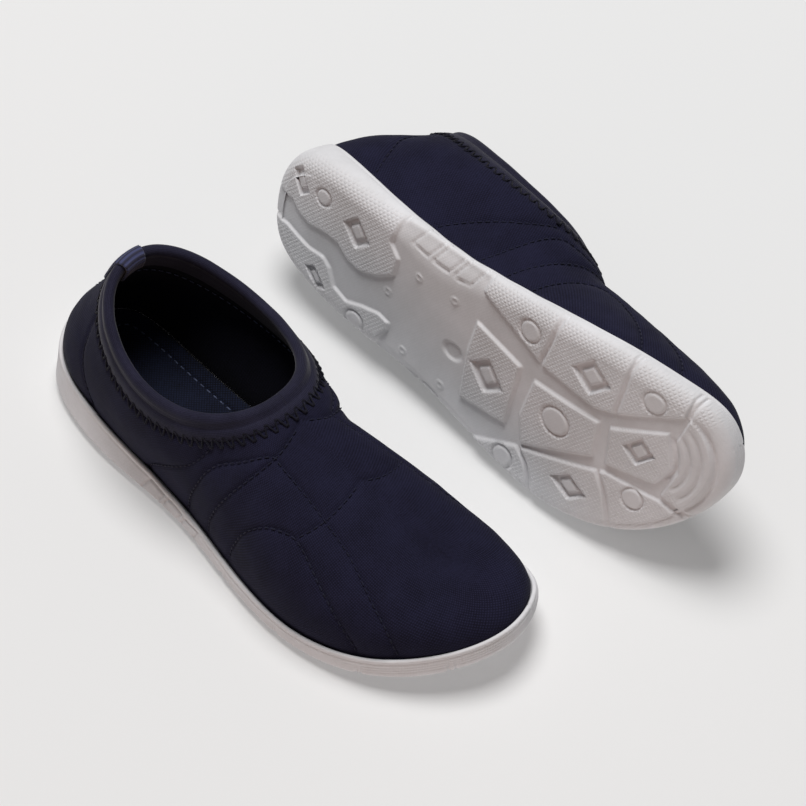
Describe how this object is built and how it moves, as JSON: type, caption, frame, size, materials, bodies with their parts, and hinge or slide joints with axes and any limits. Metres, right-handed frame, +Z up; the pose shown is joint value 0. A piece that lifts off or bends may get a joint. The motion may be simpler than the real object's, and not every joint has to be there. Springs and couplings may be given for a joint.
{
  "type": "pair of slip-on deck shoes",
  "caption": "Low slip-on deck shoes with stretch-fabric uppers on flexible rubber soles, one standing and one lying on its side; each bends at the ball of the foot.",
  "frame": {"origin": "bottom centre of the pair's bounding box, on the floor the right shoe stands on", "axes": "+Z up from the floor, -Y towards both toes, +X from the standing right shoe to the left shoe that lies on its outer side"},
  "size_m": [0.2398, 0.3006, 0.1004],
  "materials": {
    "stretch_fabric": "matt fine-weave stretch fabric",
    "lining_fabric": "matt lining cloth",
    "binding_fabric": "smooth elastic fabric with a slight sheen",
    "tab_webbing": "ribbed webbing",
    "sockliner_foam": "cloth-topped foam",
    "sole_rubber": "satin moulded rubber",
    "insole_board": "matt fibre board",
    "stiffener": "matt stiffened felt"
  },
  "bodies": {
    "right_rear": {"right_rear_outsole": "sole_rubber", "right_rear_insole_board": "insole_board", "right_rear_sockliner": "sockliner_foam", "right_quarter_lining": "lining_fabric", "right_heel_counter": "stiffener", "right_heel_panel": "stretch_fabric", "right_lateral_quarter": "stretch_fabric", "right_medial_quarter": "stretch_fabric", "right_lateral_side_panel": "stretch_fabric", "right_medial_side_panel": "stretch_fabric", "right_instep_panel": "stretch_fabric", "right_vamp_flex_panel": "stretch_fabric", "right_collar_band": "binding_fabric", "right_heel_tab": "tab_webbing"},
    "right_forefoot": {"right_forefoot_outsole": "sole_rubber", "right_forefoot_insole_board": "insole_board", "right_forefoot_sockliner": "sockliner_foam", "right_toe_lining": "lining_fabric", "right_toe_puff": "stiffener", "right_toe_panel": "stretch_fabric", "right_lateral_toe_side": "stretch_fabric", "right_medial_toe_side": "stretch_fabric"},
    "left_rear": {"left_rear_outsole": "sole_rubber", "left_rear_insole_board": "insole_board", "left_rear_sockliner": "sockliner_foam", "left_quarter_lining": "lining_fabric", "left_heel_counter": "stiffener", "left_heel_panel": "stretch_fabric", "left_lateral_quarter": "stretch_fabric", "left_medial_quarter": "stretch_fabric", "left_lateral_side_panel": "stretch_fabric", "left_medial_side_panel": "stretch_fabric", "left_instep_panel": "stretch_fabric", "left_vamp_flex_panel": "stretch_fabric", "left_collar_band": "binding_fabric", "left_heel_tab": "tab_webbing"},
    "left_forefoot": {"left_forefoot_outsole": "sole_rubber", "left_forefoot_insole_board": "insole_board", "left_forefoot_sockliner": "sockliner_foam", "left_toe_lining": "lining_fabric", "left_toe_puff": "stiffener", "left_toe_panel": "stretch_fabric", "left_lateral_toe_side": "stretch_fabric", "left_medial_toe_side": "stretch_fabric"}
  },
  "joints": [
    {"name": "right_forefoot_flex", "type": "hinge", "parent": "right_rear", "child": "right_forefoot", "pos_m": [-0.06691, -0.03169, 0.0115], "axis": [-1, 0, 0], "range_deg": [0, 30], "stiffness_Nm_per_rad": 0.6, "deforming": ["right_vamp_flex_panel"]},
    {"name": "left_shoe_lift", "type": "slide", "parent": "right_rear", "child": "left_rear", "axis": [0, 0, 1], "range_m": [0, 0.2]},
    {"name": "left_forefoot_flex", "type": "hinge", "parent": "left_rear", "child": "left_forefoot", "pos_m": [0.04479, -0.0575, 0.05115], "axis": [0.3321, 0.0052, 0.9432], "range_deg": [0, 30], "stiffness_Nm_per_rad": 0.6, "deforming": ["left_vamp_flex_panel"]}
  ]
}
